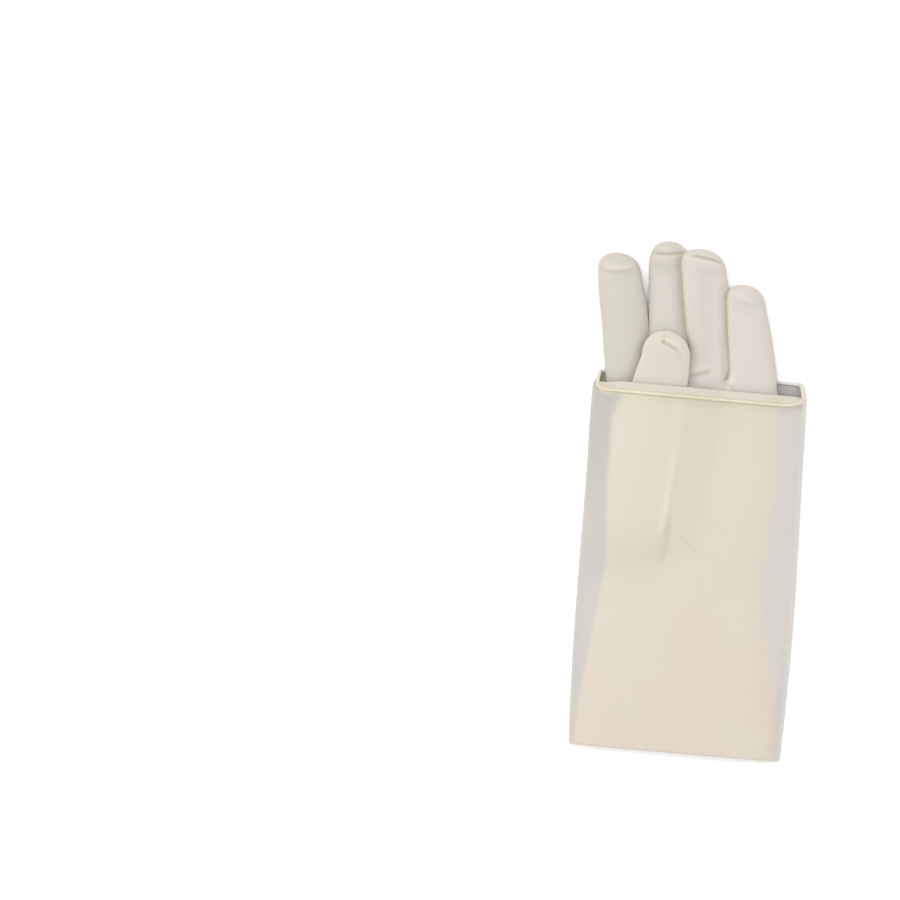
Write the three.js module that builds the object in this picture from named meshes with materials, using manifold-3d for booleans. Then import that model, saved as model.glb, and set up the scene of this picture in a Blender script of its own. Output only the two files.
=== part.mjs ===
// An elbow-length obstetric glove of thin latex. It lies flat, palm up, with its long cuff turned back
// over the hand. One dipped film makes the fingers, palm, forearm and cuff, and ends in a rolled bead at
// the cuff's lip.
// Millimetres. X runs across the glove, Y from the turned mouth to the fingertips, and Z up from the table.
import * as THREE from "three";
import { mergeVertices } from "three/addons/utils/BufferGeometryUtils.js";
import Module from "manifold-3d";

const wasm = await Module();
wasm.setup();

// Film: the real latex is 0.25 thick, and the solid's wall is thickened to 1.
const WALL = 1.0;
const GAP = 0.4; // air between two layers that lie on each other
const TABLE_REST = WALL + GAP; // height of the hand's underside inside the cuff

// Forearm and palm, a row for each section. mid is the height at which the side folds lie.
const HAND = [
  { y: 0, left: -56.6, right: 56.6, mid: 2.7, top: 8.8 },
  { y: 15, left: -55.6, right: 55.0, mid: 3.0, top: 8.8 },
  { y: 32, left: -54.3, right: 52.2, mid: 3.4, top: 8.8 },
  { y: 57, left: -51.3, right: 46.9, mid: 3.9, top: 8.8 },
  { y: 80, left: -48.5, right: 42.9, mid: 4.2, top: 8.8 },
  { y: 98, left: -46.6, right: 41.4, mid: 4.4, top: 8.8 },
  { y: 120, left: -47.3, right: 42.1, mid: 4.4, top: 8.8 },
  { y: 150, left: -50.1, right: 43.7, mid: 4.4, top: 8.8 },
  { y: 178, left: -52.2, right: 43.2, mid: 4.5, top: 8.8 },
  { y: 197, left: -53.2, right: 41.8, mid: 4.6, top: 8.8 },
];
const HAND_TOP_POWER = 3.4; // roundness of the upper half of a section, where 2 is an ellipse
const HAND_BASE_POWER = 5; // the lower half lies nearly flat
const ROOT_END = 206.5; // where the web between two finger roots ends

// Turned-back cuff, from the mouth's fold to the bend of its lip
const CUFF = [
  { y: 0, left: -58.5, right: 58.2 },
  { y: 15, left: -59.2, right: 58.7 },
  { y: 57, left: -60.2, right: 59.8 },
  { y: 98, left: -60.4, right: 59.8 },
  { y: 150, left: -60.2, right: 58.6 },
  { y: 185, left: -60.6, right: 57.9 },
  { y: 199.8, left: -60.2, right: 57.0 },
];
const CUFF_ROWS = [4, 15, 32, 57, 80, 91, 98, 104, 110, 116, 126, 140, 158, 178, 190];
const FOLD_DEPTH = 1.2; // film across the fold at the mouth
const SIDE_HEIGHT = 2.8; // least height of the cuff's side folds, two walls and the air between
const SIDE_ROUND = 2.4; // radius of the side folds
const SIDE_SLOPE = 1.05; // steepest rise of the cuff from its side folds
const DRAPE_SLOPE = 0.8; // steepest fall of the cuff off the hand
const DRAPE_REACH = 1.5; // the cuff leaves the hand this far outside its edge

// Lip: turned right down on the palm side, and lying straight on the table side
const BEND_Y = 199.8;
const BEND_RADIUS = 0.9; // middle of the film, where the lip turns down
const LIP_FILM = 6.1; // film past the bend, as long on the table side as on the palm side
const LIP_SIDE_SHARE = 0.65; // share of that length at the side folds, where the lip stands up
const LIP_FLARE = 0.16; // how far the lip leans outwards there
const LIP_TWIST_FRONT = 9; // stretch of the rim over which the lip turns from standing up to lying down
const LIP_TWIST_BACK = 4.5;
const BEAD_RADIUS = 0.7;
const BEAD_CLEAR = 0.55;
const BEAD_SIDES = 8;

// Fingers: outline on the table, with the tip's dome past the last row. power is the dome's bluntness,
// where 2 is an ellipse.
const FINGERS = {
  index: {
    tip: { x: -52.1, y: 271.6, power: 2.4 },
    rows: [
      { y: 186, left: -51.9, right: -28.9 },
      { y: 209.5, left: -54.6, right: -30.6 },
      { y: 218, left: -56.1, right: -31.4 },
      { y: 232, left: -58.0, right: -32.6 },
      { y: 246, left: -60.6, right: -35.2 },
      { y: 259.5, left: -61.9, right: -39.1 },
    ],
  },
  middle: {
    tip: { x: -25.4, y: 279.9, power: 2.4 },
    rows: [
      { y: 186, left: -29.4, right: -8.0 },
      { y: 209.5, left: -30.2, right: -8.2 },
      { y: 218, left: -30.9, right: -9.1 },
      { y: 234, left: -32.3, right: -12.3 },
      { y: 252, left: -33.7, right: -15.1 },
      { y: 268.5, left: -34.7, right: -17.5 },
    ],
  },
  ring: {
    tip: { x: -6.8, y: 277.0, power: 2.4 },
    rows: [
      { y: 186, left: -7.8, right: 12.6 },
      { y: 209.5, left: -7.8, right: 12.8 },
      { y: 218, left: -8.6, right: 13.1 },
      { y: 234, left: -11.8, right: 11.6 },
      { y: 252, left: -14.7, right: 9.5 },
      { y: 266, left: -16.7, right: 7.1 },
    ],
  },
  little: {
    tip: { x: 18.4, y: 259.2, power: 2.4 },
    rows: [
      { y: 186, left: 13.2, right: 41.2 },
      { y: 209.5, left: 13.3, right: 40.3 },
      { y: 218, left: 13.6, right: 38.8 },
      { y: 232, left: 12.3, right: 35.7 },
      { y: 247.8, left: 10.5, right: 31.4 },
    ],
  },
};
// Height of a finger's underside and top along the glove: it passes over the bead and comes down to the
// table
const FINGER_LEVELS = [
  { y: 186, bottom: 1.75, top: 8.8 },
  { y: 210, bottom: 1.75, top: 8.8 },
  { y: 228, bottom: 0, top: 8.8 },
  { y: 280, bottom: 0, top: 8.8 },
];

// Thumb: rises out of the palm at its root and lies over the palm and two finger roots
const THUMB = {
  tip: { x: -22.7, y: 230.7, power: 2 },
  rows: [
    { y: 90, left: -39.0, right: -21.0, bottom: 3.2, top: 7.2 },
    { y: 103, left: -45.0, right: -18.0, bottom: 4.2, top: 10.8 },
    { y: 114, left: -47.6, right: -16.4, bottom: 7.2, top: 14.2 },
    { y: 126, left: -48.8, right: -14.8, bottom: 9.2, top: 15.8 },
    { y: 140, left: -49.2, right: -13.2, bottom: 9.2, top: 15.8 },
    { y: 158, left: -47.6, right: -11.2, bottom: 9.2, top: 15.8 },
    { y: 175, left: -43.8, right: -10.8, bottom: 9.2, top: 15.8 },
    { y: 190, left: -40.8, right: -10.4, bottom: 9.2, top: 15.8 },
    { y: 203, left: -38.8, right: -8.6, bottom: 9.3, top: 15.8 },
    { y: 217, left: -34.3, right: -8.4, bottom: 9.3, top: 15.6 },
  ],
};
const DIGIT_TOP_POWER = 2.2;
const DIGIT_BASE_POWER = 3;
const DIGIT_MID = 0.45; // height of a digit's side line, as a share of its thickness
const DOME_ANGLES = [24, 46, 66, 82]; // sections of a tip's dome, in degrees towards its point
const DIGIT_SIDES = 18;

const LATEX = { color: 0xe0d5bf, roughness: 0.5, metalness: 0 };
const BEAD_LATEX = { color: 0xe4d9b4, roughness: 0.45, metalness: 0 };

const rad = THREE.MathUtils.degToRad;

// A table's row at any y, with each named column worked out between the rows on either side.
function rowAt(table, y) {
  const last = table.length - 1;
  const after = table.findIndex((row) => row.y >= y);
  if (after === 0) return { ...table[0], y };
  if (after < 0) return { ...table[last], y };
  const [a, b] = [table[after - 1], table[after]];
  const share = (y - a.y) / (b.y - a.y);
  const between = (key) => [key, THREE.MathUtils.lerp(a[key], b[key], share)];
  return Object.fromEntries(Object.keys(a).map(between));
}

// Height of a rounded section over its side line, as a share of its full height, at offset from -1 to 1.
const crown = (offset, power) => Math.pow(Math.max(0, 1 - Math.pow(Math.abs(offset), power)), 1 / power);

function topOf(row, x, power) {
  const half = (row.right - row.left) / 2;
  const offset = (x - (row.left + row.right) / 2) / half;
  return Math.abs(offset) > 1 ? 0 : row.mid + (row.top - row.mid) * crown(offset, power);
}

const midOf = (row) => row.bottom + DIGIT_MID * (row.top - row.bottom);
const topOfDigit = (row, x) => topOf({ ...row, mid: midOf(row) }, x, DIGIT_TOP_POWER);

// Top of whatever lies under the cuff at a place: the palm, a finger's root, or the thumb on them.
function topUnderCuff(x, y) {
  const tops = [topOf(rowAt(HAND, y), x, HAND_TOP_POWER)];
  if (y >= THUMB.rows[0].y) tops.push(topOfDigit(rowAt(THUMB.rows, y), x));
  if (y >= FINGER_LEVELS[0].y) {
    for (const { rows } of Object.values(FINGERS)) {
      tops.push(topOfDigit({ ...rowAt(rows, y), ...rowAt(FINGER_LEVELS, y) }, x));
    }
  }
  return Math.max(...tops);
}

// The cuff's outer top at a place. It lies on what is under it, and falls off each edge by DRAPE_SLOPE at
// most.
function drape(x, y) {
  const { left, right } = rowAt(CUFF, y);
  const lowest = SIDE_HEIGHT - WALL - GAP;
  let height = lowest;
  for (let other = left; other <= right; other += 1.5) {
    const fall = DRAPE_SLOPE * Math.max(0, Math.abs(x - other) - DRAPE_REACH);
    height = Math.max(height, topUnderCuff(other, y) - fall);
  }
  const highest = lowest + SIDE_SLOPE * Math.max(0, Math.min(x - left, right - x));
  return Math.min(height, highest) + WALL + GAP;
}

// Places across a flattened tube, close together at its side folds. They run from the right edge over the
// top to the left edge and back below.
const EDGE_STEPS = [0, 0.35, 1.3, 3, 6.5, 11];
const TOP_SPANS = 16;
const BASE_SPANS = 5;
function ringPlaces(spans) {
  const near = EDGE_STEPS.map((step) => ({ edge: 1, step }));
  const across = [];
  for (let i = 1; i < spans; i++) across.push({ share: 1 - (2 * i) / spans });
  return [...near, ...across, ...near.map(({ step }) => ({ edge: -1, step })).reverse()];
}
const TOP_PLACES = ringPlaces(TOP_SPANS);
const BASE_PLACES = ringPlaces(BASE_SPANS).slice(1, -1).reverse();

// A place's x between two edges. Only the places near the edges move with inset, so a wall keeps its
// thickness.
function placeX(place, { left, right }, inset) {
  const half = (right - left) / 2;
  const centre = (left + right) / 2;
  const near = EDGE_STEPS.at(-1);
  if (place.edge) return centre + place.edge * (half - inset - place.step * (1 - inset / near));
  return centre + place.share * (half - near);
}

// One section of the cuff at y, or of what lies inside it, drawn in by inset on every side.
function cuffRing(y, inset) {
  const edges = rowAt(CUFF, y);
  const left = edges.left + inset;
  const right = edges.right - inset;
  const round = Math.max(0.4, SIDE_ROUND - inset);
  const closing = (x) => {
    const short = Math.max(0, 1 - Math.min(x - left, right - x) / round);
    return Math.sqrt(Math.max(0, 1 - short * short));
  };
  const point = (place, upper) => {
    const x = placeX(place, edges, inset);
    const top = Math.max(drape(x, y) - inset, inset + 0.3);
    const middle = (top + inset) / 2;
    return new THREE.Vector3(x, y, middle + ((upper ? 1 : -1) * (top - inset) * closing(x)) / 2);
  };
  return [...TOP_PLACES.map((p) => point(p, true)), ...BASE_PLACES.map((p) => point(p, false))];
}

// One section of the forearm or palm, drawn in by inset.
function handRing(row, inset, shrink = 1) {
  const left = row.left + inset;
  const right = row.right - inset;
  const half = (right - left) / 2;
  const point = (place, upper) => {
    const x = placeX(place, row, inset);
    const offset = (x - (left + right) / 2) / half;
    const height = upper
      ? (row.top - inset - row.mid) * crown(offset, HAND_TOP_POWER)
      : -(row.mid - TABLE_REST - inset) * crown(offset, HAND_BASE_POWER);
    return new THREE.Vector3(x, row.y, row.mid + height * shrink);
  };
  return [...TOP_PLACES.map((p) => point(p, true)), ...BASE_PLACES.map((p) => point(p, false))];
}

// One section of a finger or the thumb.
function digitRing(row, inset) {
  const half = (row.right - row.left) / 2 - inset;
  const centre = (row.left + row.right) / 2;
  const middle = midOf(row);
  return Array.from({ length: DIGIT_SIDES }, (_, i) => {
    const angle = (2 * Math.PI * i) / DIGIT_SIDES;
    const upper = Math.sin(angle) >= 0;
    const power = upper ? DIGIT_TOP_POWER : DIGIT_BASE_POWER;
    const across = Math.sign(Math.cos(angle)) * Math.pow(Math.abs(Math.cos(angle)), 2 / power);
    const up = Math.pow(Math.abs(Math.sin(angle)), 2 / power);
    const height = upper ? row.top - middle - inset : -(middle - row.bottom - inset);
    return new THREE.Vector3(centre + half * across, row.y, middle + height * up);
  });
}

function centroid(ring) {
  return ring.reduce((sum, p) => sum.add(p), new THREE.Vector3()).divideScalar(ring.length);
}

// Joins rings of equal length into a closed skin. Rings run anticlockwise seen from low y, and advance
// along +Y. With round set, the last ring joins the first, and otherwise each end is closed by a fan. The
// diagonals follow Y, so both faces of a wall are split alike.
function skin(rings, round = false) {
  const sides = rings[0].length;
  const points = rings.flat();
  const faces = [];
  const joins = round ? rings.length : rings.length - 1;
  for (let i = 0; i < joins; i++) {
    const onward = rings[(i + 1) % rings.length][0].y > rings[i][0].y;
    for (let j = 0; j < sides; j++) {
      const [a, b] = [i * sides + j, i * sides + ((j + 1) % sides)];
      const next = ((i + 1) % rings.length) * sides;
      const [c, d] = [next + j, next + ((j + 1) % sides)];
      faces.push(...(onward ? [a, c, b, b, c, d] : [a, c, d, a, d, b]));
    }
  }
  if (!round) {
    for (const [ring, flip] of [[0, false], [rings.length - 1, true]]) {
      points.push(centroid(rings[ring]));
      for (let j = 0; j < sides; j++) {
        const edge = [ring * sides + j, ring * sides + ((j + 1) % sides)];
        faces.push(points.length - 1, ...(flip ? edge.reverse() : edge));
      }
    }
  }
  return new THREE.BufferGeometry().setFromPoints(points).setIndex(faces);
}

function solid(geometry) {
  const merged = mergeVertices(geometry, 1e-4);
  return new wasm.Manifold(
    new wasm.Mesh({
      numProp: 3,
      vertProperties: new Float32Array(merged.attributes.position.array),
      triVerts: new Uint32Array(merged.index.array),
    }),
  );
}

// A closed digit: its table's sections, then a dome whose width and height fall off to the tip.
function digit({ rows, tip }, levels, inset) {
  const full = rows.map((row) => ({ ...row, ...(levels && rowAt(levels, row.y)) }));
  const last = full.at(-1);
  const reach = tip.y - inset - last.y;
  const centre = (last.left + last.right) / 2;
  const middle = midOf(last);
  const dome = DOME_ANGLES.map((degrees) => {
    const along = Math.sin(rad(degrees));
    const share = crown(along, tip.power);
    const x = THREE.MathUtils.lerp(centre, tip.x, along);
    const half = ((last.right - last.left) / 2 - inset) * share + inset;
    const flat = Math.sqrt(share); // a tip stays thick nearly to its point
    return {
      y: last.y + reach * along,
      left: x - half,
      right: x + half,
      bottom: middle - (middle - last.bottom - inset) * flat - inset,
      top: middle + (last.top - middle - inset) * flat + inset,
    };
  });
  return solid(skin([...full, ...dome].map((row) => digitRing(row, inset))));
}

// Forearm and palm, closed past the finger roots. Near the mouth it keeps to the cuff's own section.
function forearmAndPalm(inset, start) {
  const atMouth = [start, 3].map((y) => cuffRing(y, TABLE_REST + inset));
  if (start < 0) atMouth[0] = cuffRing(0, TABLE_REST + inset).map((p) => new THREE.Vector3(p.x, start, p.z));
  const rings = HAND.slice(1).map((row) => handRing(row, inset));
  const last = HAND.at(-1);
  for (const [share, shrink, draw] of [[0.45, 0.95, 0.4], [0.8, 0.75, 1.4], [1, 0.4, 3]]) {
    const y = THREE.MathUtils.lerp(last.y, ROOT_END - inset, share);
    rings.push(handRing({ ...last, y, left: last.left + draw, right: last.right - draw }, inset, shrink));
  }
  return solid(skin([...atMouth, ...rings]));
}

function handSolid(inset, start) {
  const parts = [forearmAndPalm(inset, start), digit(THUMB, null, inset)];
  for (const finger of Object.values(FINGERS)) parts.push(digit(finger, FINGER_LEVELS, inset));
  return wasm.Manifold.union(parts);
}

// How far the lip is turned at each place of the rim: none on the table side, a right angle at the side
// folds, and right over on the palm side. Seen from above, the rim is half an ellipse at each side.
function lipAngles(ring) {
  const lengths = ring.map((p, i) => p.distanceTo(ring[(i + 1) % ring.length]));
  const total = lengths.reduce((sum, length) => sum + length, 0);
  let along = 0;
  const places = lengths.map((length) => (along += length) - length);
  const leftEdge = places[TOP_PLACES.length - 1];
  return places.map((place) => {
    const front = place <= leftEdge;
    const away = front ? Math.min(place, leftEdge - place) : Math.min(place - leftEdge, total - place);
    const twist = front ? LIP_TWIST_FRONT : LIP_TWIST_BACK;
    return Math.PI / 2 + (front ? 1 : -1) * Math.acos(Math.max(0, 1 - away / twist));
  });
}

// The middle of the lip's film at a share of its length past the bend, for each place of the rim. It
// follows an arc of BEND_RADIUS up to the lip's angle and then runs straight.
function lipMiddle(share) {
  const ring = cuffRing(BEND_Y, WALL / 2);
  const angles = lipAngles(ring);
  return ring.map((point, i) => {
    const before = ring.at(i - 1);
    const after = ring[(i + 1) % ring.length];
    const outward = new THREE.Vector3(after.z - before.z, 0, before.x - after.x).normalize();
    const lean = THREE.MathUtils.clamp(outward.x, -LIP_FLARE, LIP_FLARE);
    const away = new THREE.Vector3(lean, 0, Math.sqrt(1 - lean * lean));
    const arc = BEND_RADIUS * angles[i];
    const straight = (LIP_FILM - arc) * (1 - (1 - LIP_SIDE_SHARE) * Math.sin(angles[i]) ** 2);
    const travelled = share * (arc + straight);
    const angle = Math.min(angles[i], travelled / BEND_RADIUS);
    const rest = Math.max(0, travelled - arc);
    const up = BEND_RADIUS * Math.sin(angle) + rest * Math.cos(angle);
    const out = BEND_RADIUS * (1 - Math.cos(angle)) + rest * Math.sin(angle);
    return point.clone().addScaledVector(away, out).setY(BEND_Y + up);
  });
}

// The same places, each with the film's outer normal there and its heading.
function lipPath(share) {
  const before = lipMiddle(share - 0.02);
  const after = lipMiddle(share + 0.02);
  const middles = lipMiddle(share);
  return middles.map((middle, i) => {
    const heading = after[i].clone().sub(before[i]).normalize();
    const along = middles[(i + 1) % middles.length].clone().sub(middles.at(i - 1));
    return { middle, heading, normal: heading.clone().cross(along).normalize() };
  });
}

const LIP_SHARES = [0.1, 0.2, 0.3, 0.41, 0.7, 1];

// The cuff with its fold at the mouth and its lip: one closed profile of rings, outside up and inside down.
function cuffSolid() {
  const lip = LIP_SHARES.map(lipPath);
  const half = (side) => (place) => place.middle.clone().addScaledVector(place.normal, (side * WALL) / 2);
  const foldOutside = [[2.4, 2.9], [0, 2.9], [0, 1.0], [0.3, 0.3], [1.0, 0]];
  const foldInside = [[2.2, WALL], [FOLD_DEPTH, WALL + 0.5], [2.4, TABLE_REST + 0.4]];
  const rings = [
    ...foldOutside.map(([y, inset]) => cuffRing(y, inset)),
    ...[...CUFF_ROWS, BEND_Y].map((y) => cuffRing(y, 0)),
    ...lip.map((path) => path.map(half(1))),
    ...lip.map((path) => path.map(half(-1))).reverse(),
    ...[...CUFF_ROWS, BEND_Y].map((y) => cuffRing(y, WALL)).reverse(),
    ...foldInside.map(([y, inset]) => cuffRing(y, inset)),
  ];
  return solid(skin(rings, true));
}

// The film rolled up on itself at the lip's end, all the way round the rim.
function beadGeometry() {
  const sections = lipPath(1).map(({ middle, normal, heading }) => {
    const centre = middle.clone().addScaledVector(heading, BEAD_CLEAR + BEAD_RADIUS);
    centre.addScaledVector(normal, WALL / 2 - BEAD_RADIUS);
    centre.z = Math.max(centre.z, BEAD_RADIUS);
    return Array.from({ length: BEAD_SIDES }, (_, i) => {
      const angle = (2 * Math.PI * i) / BEAD_SIDES;
      const arm = heading.clone().multiplyScalar(Math.cos(angle)).addScaledVector(normal, Math.sin(angle));
      return centre.clone().addScaledVector(arm, BEAD_RADIUS);
    });
  });
  return skin(sections, true);
}

function filmGeometry() {
  const film = handSolid(0, 0.6).add(cuffSolid()).subtract(handSolid(WALL, -4));
  const { vertProperties, triVerts } = film.getMesh();
  const geometry = new THREE.BufferGeometry();
  geometry.setAttribute("position", new THREE.BufferAttribute(vertProperties, 3));
  return geometry.setIndex(new THREE.BufferAttribute(triVerts, 1));
}

function mesh(name, geometry, finish) {
  const made = new THREE.Mesh(geometry, new THREE.MeshStandardMaterial(finish));
  made.name = name;
  return made;
}

const glove = new THREE.Group();
glove.add(mesh("glove_film", filmGeometry(), LATEX), mesh("rolled_bead", beadGeometry(), BEAD_LATEX));

// The frame's origin is on the table, under the middle of the glove's own box.
const box = new THREE.Box3().setFromObject(glove);
glove.position.set(-(box.min.x + box.max.x) / 2, -(box.min.y + box.max.y) / 2, -box.min.z);

export default glove;
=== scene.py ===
# %% [markdown]
# # An elbow-length latex glove with its cuff turned back
#
# The glove is one dipped film. It lies palm up on a table, with its long cuff
# turned back over the hand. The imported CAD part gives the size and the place
# of everything, so it is loaded first and nothing here moves it.

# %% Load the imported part
import math
import bpy
import numpy as np
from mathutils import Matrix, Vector


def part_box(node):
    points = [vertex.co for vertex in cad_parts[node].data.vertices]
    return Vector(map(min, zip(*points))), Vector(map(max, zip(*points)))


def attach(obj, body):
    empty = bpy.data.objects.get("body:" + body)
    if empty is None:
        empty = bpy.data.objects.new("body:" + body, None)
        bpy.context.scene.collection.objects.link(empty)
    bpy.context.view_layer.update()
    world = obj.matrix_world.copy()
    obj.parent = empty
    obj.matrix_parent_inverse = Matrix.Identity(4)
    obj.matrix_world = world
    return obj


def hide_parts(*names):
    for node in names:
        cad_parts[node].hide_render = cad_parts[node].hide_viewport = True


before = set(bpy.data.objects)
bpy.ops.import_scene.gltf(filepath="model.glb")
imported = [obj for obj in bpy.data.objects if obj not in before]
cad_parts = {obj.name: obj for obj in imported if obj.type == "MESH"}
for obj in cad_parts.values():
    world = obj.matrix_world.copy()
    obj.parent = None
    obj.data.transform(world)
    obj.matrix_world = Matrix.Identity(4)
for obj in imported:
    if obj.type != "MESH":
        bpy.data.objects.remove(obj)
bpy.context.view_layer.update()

# %% [markdown]
# The CAD drawing has its own origin at the mouth's fold, in millimetres. All
# shapes below are worked out there, because the glove's sizes read best in
# millimetres, and they are moved to the shared frame when a mesh is made. The
# film's lowest corner is known in both frames, so it gives the shift.

# %% Drawing frame and film
MM = 0.001
FILM_CORNER = np.array([-61.983, 0.0, 0.0])  # the film's lowest corner in the drawing
SHIFT = np.array(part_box("glove_film")[0]) / MM - FILM_CORNER
print("shift from drawing to frame, mm:", SHIFT.round(3))

FILM = 0.6  # thickness of the film that is seen, inside the CAD's wall of 1
CAD_WALL = 1.0
CAD_GAP = 0.4  # air between two layers in the drawing
TABLE_REST = CAD_WALL + CAD_GAP  # height of the hand's underside inside the cuff

# %% [markdown]
# A glove's outline is best kept as a few named widths along its length, as a
# glove maker's former is drawn. A smooth curve through those widths gives the
# outline at any place. A long list of points would hide what each one is for.

# %% Outlines of the hand, the cuff, the fingers and the thumb


def table(names, rows):
    """Named columns out of rows of numbers."""
    return dict(zip(names.split(), np.array(rows, float).T))


HAND = table("y left right mid", [
    (0, -56.6, 56.6, 2.7),
    (15, -55.6, 55.0, 3.0),
    (32, -54.3, 52.2, 3.4),
    (57, -51.3, 46.9, 3.9),
    (80, -48.5, 42.9, 4.2),
    (98, -46.6, 41.4, 4.4),
    (120, -47.3, 42.1, 4.4),
    (150, -50.1, 43.7, 4.4),
    (178, -52.2, 43.2, 4.5),
    (197, -53.2, 41.8, 4.6),
])
HAND_TOP = 8.8
HAND_TOP_POWER, HAND_BASE_POWER = 3.4, 5.0
ROOT_END = 206.5  # where the web between two finger roots ends

CUFF = table("y left right", [
    (0, -58.5, 58.2),
    (15, -59.2, 58.7),
    (57, -60.2, 59.8),
    (98, -60.4, 59.8),
    (150, -60.2, 58.7),
    (185, -60.6, 58.2),
    (199.4, -60.4, 57.8),
])

FINGER_LEVELS = table("y bottom top", [
    (186, 1.75, 8.8), (210, 1.75, 8.8), (228, 0.0, 8.8), (280, 0.0, 8.8),
])
# Each digit's tip, the bluntness of its dome (2 is an ellipse), and its outline
DIGITS = {
    "index": ((-52.1, 271.6), 2.4, table("y left right", [
        (186, -51.9, -28.9), (209.5, -54.6, -30.4), (218, -56.1, -30.9),
        (232, -58.0, -32.1), (246, -60.7, -34.6), (259.5, -62.3, -38.3),
    ])),
    "middle": ((-23.9, 280.0), 2.4, table("y left right", [
        (186, -29.4, -8.0), (209.5, -30.5, -8.0), (218, -31.1, -8.6),
        (234, -32.3, -11.2), (252, -33.7, -13.2), (268.5, -34.7, -13.7),
    ])),
    "ring": ((-6.8, 277.1), 2.4, table("y left right", [
        (186, -10.0, 13.6), (209.5, -10.1, 14.8), (218, -9.2, 14.6),
        (234, -11.8, 12.9), (252, -14.7, 10.8), (266, -16.7, 8.1),
    ])),
    "little": ((18.4, 259.2), 2.4, table("y left right", [
        (186, 12.8, 41.2), (204, 12.9, 40.7), (210.5, 14.1, 40.1),
        (218, 13.4, 38.8), (232, 11.3, 35.7), (247.8, 9.7, 31.4),
    ])),
    "thumb": ((-22.7, 230.7), 2.0, table("y left right bottom top", [
        (90, -39.0, -21.0, 3.2, 7.2), (103, -45.0, -18.0, 4.2, 10.8),
        (114, -47.6, -16.4, 7.2, 14.2), (126, -48.8, -14.8, 9.2, 15.8),
        (140, -49.2, -13.2, 9.2, 15.8), (158, -47.6, -11.2, 9.2, 15.8),
        (175, -43.8, -10.8, 9.2, 15.8), (190, -40.8, -10.4, 9.2, 15.8),
        (203, -38.8, -8.6, 9.3, 15.8), (217, -35.0, -8.4, 9.3, 15.6),
    ])),
}
DIGIT_TOP_POWER, DIGIT_BASE_POWER = 2.2, 3.0
DIGIT_MID = 0.45  # height of a digit's side line, as a share of its thickness

# %% Curves through the tables


def curve(columns, name, y):
    """A column at every y: between two rows t runs from 0 to 1, and the value is
    the cubic that meets both rows with the slopes of their neighbours."""
    at, value = columns["y"], columns[name]
    slope = np.gradient(value, at)
    i = np.clip(np.searchsorted(at, y, side="right") - 1, 0, len(at) - 2)
    span = at[i + 1] - at[i]
    t = np.clip((y - at[i]) / span, 0, 1)
    rise = t * t * (3 - 2 * t)
    start = value[i] + span * slope[i] * t * (1 - t) ** 2
    bend = span * slope[i + 1] * t * t * (t - 1)
    return start + rise * (value[i + 1] - value[i]) + bend


def smoothstep(t):
    """0 up to t = 0, 1 from t = 1, and 3t^2 - 2t^3 between."""
    t = np.clip(t, 0, 1)
    return t * t * (3 - 2 * t)


def crown(offset, power):
    """Height of a rounded section over its side line, as a share of its full
    height: (1 - |offset|^power)^(1/power)."""
    return np.clip(1 - np.abs(offset) ** power, 0, None) ** (1 / power)


def levels_of(name, y):
    """Underside and top of a digit at every y."""
    source = DIGITS[name][2] if name == "thumb" else FINGER_LEVELS
    return [np.interp(y, source["y"], source[level]) for level in ("bottom", "top")]


palm_width = curve(HAND, "right", 150.0) - curve(HAND, "left", 150.0)
print("palm's width, mm:", palm_width.round(1))

# %% [markdown]
# Thin film is full of small folds. Each fold that can be told apart is a
# groove or a ridge along a short bowed line, so one formula serves them all:
# the height falls off from the line as a bell curve and fades at both ends.

# %% Folds in the film
END_FADE = 0.22  # share of a fold's length over which each end fades
PAINT_SPREAD = 0.15  # how much wider a fold's painted shade or painted highlight is than its groove


def fold(x, y, start, end, bow, width, height):
    """Height of a fold at every place: height * exp(-(d / width)^2), where d is
    the distance from the line start-end bowed sideways by bow * 4t(1 - t)."""
    start, end = np.array(start), np.array(end)
    length = np.hypot(*(end - start))
    along = (end - start) / length
    t = ((x - start[0]) * along[0] + (y - start[1]) * along[1]) / length
    off = (y - start[1]) * along[0] - (x - start[0]) * along[1] - bow * 4 * t * (1 - t)
    fade = smoothstep(t / END_FADE) * smoothstep((1 - t) / END_FADE)
    return height * np.exp(-(off / width) ** 2) * fade


def folds(x, y, rows):
    """Sum of the folds in a table: start, end, bow, width, height and paint, the painted shade
    or highlight.
    """
    total = np.zeros(np.broadcast(x, y).shape)
    for start, end, bow, width, height, _ in rows:
        total += fold(x, y, start, end, bow, width, height)
    return total


def fold_paint(x, y, rows, sign=1):
    """How much painted shade (sign 1) or painted highlight (sign -1) a place takes from the
    folds, 0 to 1: the same bells with the rows' paint. A crease has painted shade over 0, and a
    bright ridge has a painted highlight under 0."""
    total = np.zeros(np.broadcast(x, y).shape)
    for start, end, bow, width, _, paint in rows:
        total += fold(x, y, start, end, bow, width + PAINT_SPREAD, max(sign * paint, 0))
    return np.clip(total, 0, 1)
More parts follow.
